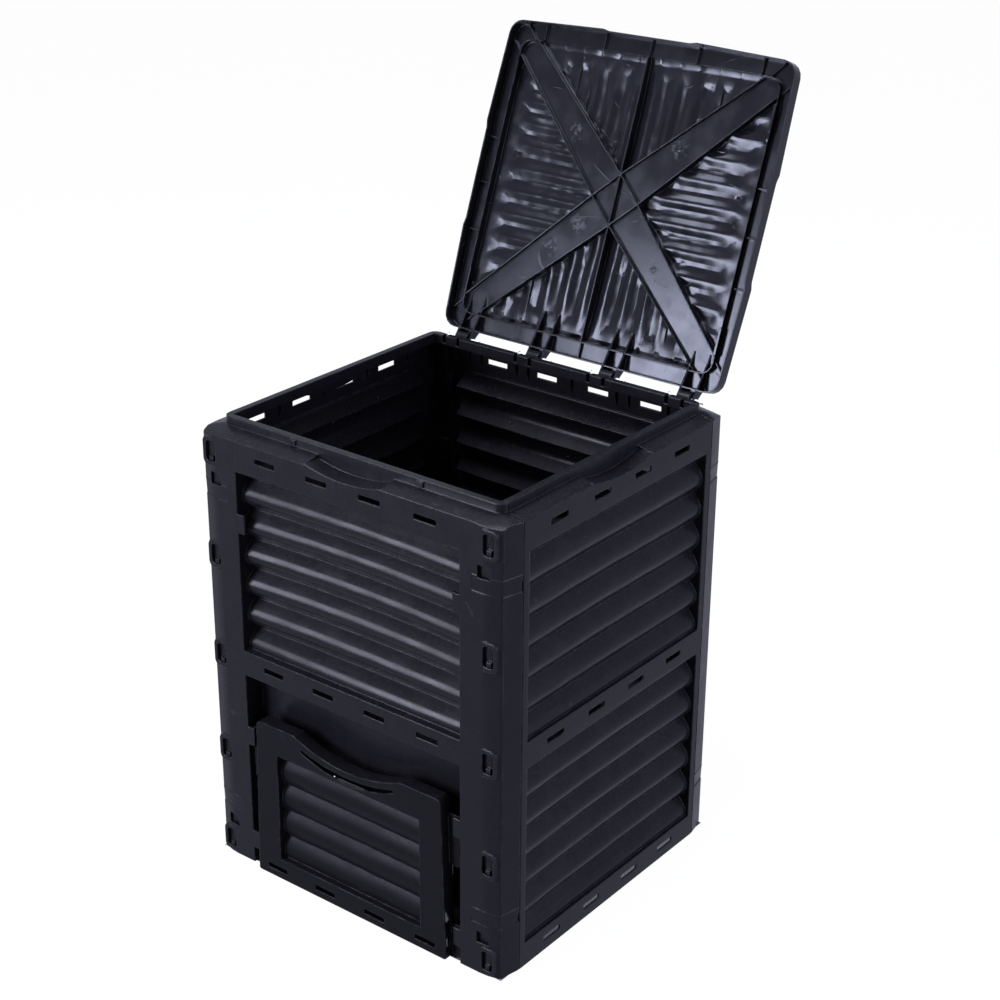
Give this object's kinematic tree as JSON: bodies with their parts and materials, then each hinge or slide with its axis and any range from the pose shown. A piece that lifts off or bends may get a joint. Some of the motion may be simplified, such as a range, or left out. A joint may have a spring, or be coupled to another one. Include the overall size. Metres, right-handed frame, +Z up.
{
  "type": "compost bin with lid",
  "caption": "Square corrugated compost bin, open at the bottom, with a hinged ribbed lid thrown back and a sliding door at the foot of the front wall.",
  "frame": {"origin": "centre of the tub's footprint, on the ground", "axes": "+Z up, -Y towards the front wall with the door, +X to the right seen from the front"},
  "size_m": [0.61, 0.7981, 1.2963],
  "materials": {
    "wall_plastic": "satin black, faintly grained",
    "lid_plastic": "glossy black with flow marks",
    "door_plastic": "satin black, faintly grained",
    "pin_plastic": "pale grey satin"
  },
  "bodies": {
    "bin": {"front_wall": "wall_plastic", "back_wall": "wall_plastic", "left_wall": "wall_plastic", "right_wall": "wall_plastic", "hinge_pin_1": "pin_plastic", "hinge_pin_2": "pin_plastic", "hinge_pin_3": "pin_plastic", "hinge_pin_4": "pin_plastic"},
    "lid": {"lid": "lid_plastic"},
    "door": {"door": "door_plastic"}
  },
  "joints": [
    {"name": "lid_hinge", "type": "hinge", "parent": "bin", "child": "lid", "pos_m": [0, 0.281, 0.775], "axis": [1, 0, 0], "range_deg": [0, 111]},
    {"name": "door_slide", "type": "slide", "parent": "bin", "child": "door", "axis": [0, 0, 1], "range_m": [0, 0.0675]}
  ]
}
